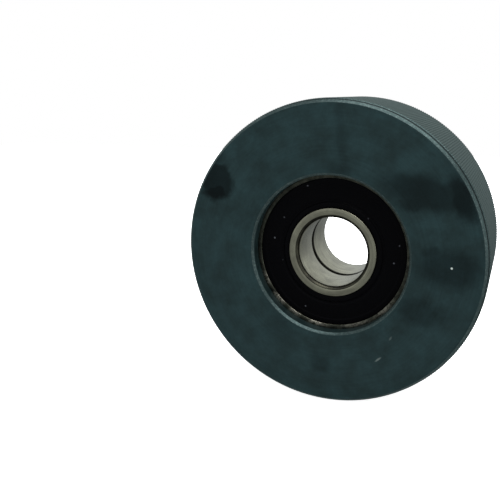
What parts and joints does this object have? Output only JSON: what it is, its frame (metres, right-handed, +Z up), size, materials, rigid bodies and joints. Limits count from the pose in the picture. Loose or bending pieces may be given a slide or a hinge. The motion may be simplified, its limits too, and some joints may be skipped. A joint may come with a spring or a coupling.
{
  "type": "belt tensioner idler",
  "caption": "Wide flat idler pulley for a belt tensioner: a blackened steel ring with a fine straight knurl, turning on two sealed ball bearings side by side.",
  "frame": {"origin": "on the turning axis, halfway along the pulley's width", "axes": "+Y along the turning axis, from the front face to the back face; +Z up"},
  "size_m": [0.0734, 0.034, 0.0734],
  "materials": {
    "blackened_steel": "turned and knurled, black oxide",
    "bearing_steel": "ground",
    "ball_steel": "lapped",
    "cage_steel": "pressed sheet",
    "core_steel": "pressed sheet",
    "spring_steel": "phosphated",
    "seal_rubber": "moulded nitrile rubber"
  },
  "bodies": {
    "inner_rings": {"front_bearing_inner_ring": "bearing_steel", "rear_bearing_inner_ring": "bearing_steel"},
    "pulley": {"pulley_body": "blackened_steel", "retaining_circlip": "spring_steel", "front_bearing_outer_ring": "bearing_steel", "front_bearing_front_seal": "seal_rubber", "front_bearing_front_seal_core": "core_steel", "front_bearing_rear_seal": "seal_rubber", "front_bearing_rear_seal_core": "core_steel", "rear_bearing_outer_ring": "bearing_steel", "rear_bearing_front_seal": "seal_rubber", "rear_bearing_front_seal_core": "core_steel", "rear_bearing_rear_seal": "seal_rubber", "rear_bearing_rear_seal_core": "core_steel"},
    "front_ball_set": {"front_bearing_balls": "ball_steel", "front_bearing_cage_front_half": "cage_steel", "front_bearing_cage_rear_half": "cage_steel", "front_bearing_cage_rivets": "cage_steel"},
    "rear_ball_set": {"rear_bearing_balls": "ball_steel", "rear_bearing_cage_front_half": "cage_steel", "rear_bearing_cage_rear_half": "cage_steel", "rear_bearing_cage_rivets": "cage_steel"}
  },
  "joints": [
    {"name": "pulley_spin", "type": "hinge", "parent": "inner_rings", "child": "pulley", "pos_m": [0, 0, 0], "axis": [0, 1, 0], "continuous": true},
    {"name": "front_ball_set_orbit", "type": "hinge", "parent": "inner_rings", "child": "front_ball_set", "pos_m": [0, -0.0078, 0], "axis": [0, 1, 0], "continuous": true},
    {"name": "rear_ball_set_orbit", "type": "hinge", "parent": "inner_rings", "child": "rear_ball_set", "pos_m": [0, 0.0042, 0], "axis": [0, 1, 0], "continuous": true}
  ],
  "couplings": [
    {"joint": "front_ball_set_orbit", "follows": "pulley_spin", "ratio": 0.6184},
    {"joint": "rear_ball_set_orbit", "follows": "pulley_spin", "ratio": 0.6184}
  ]
}
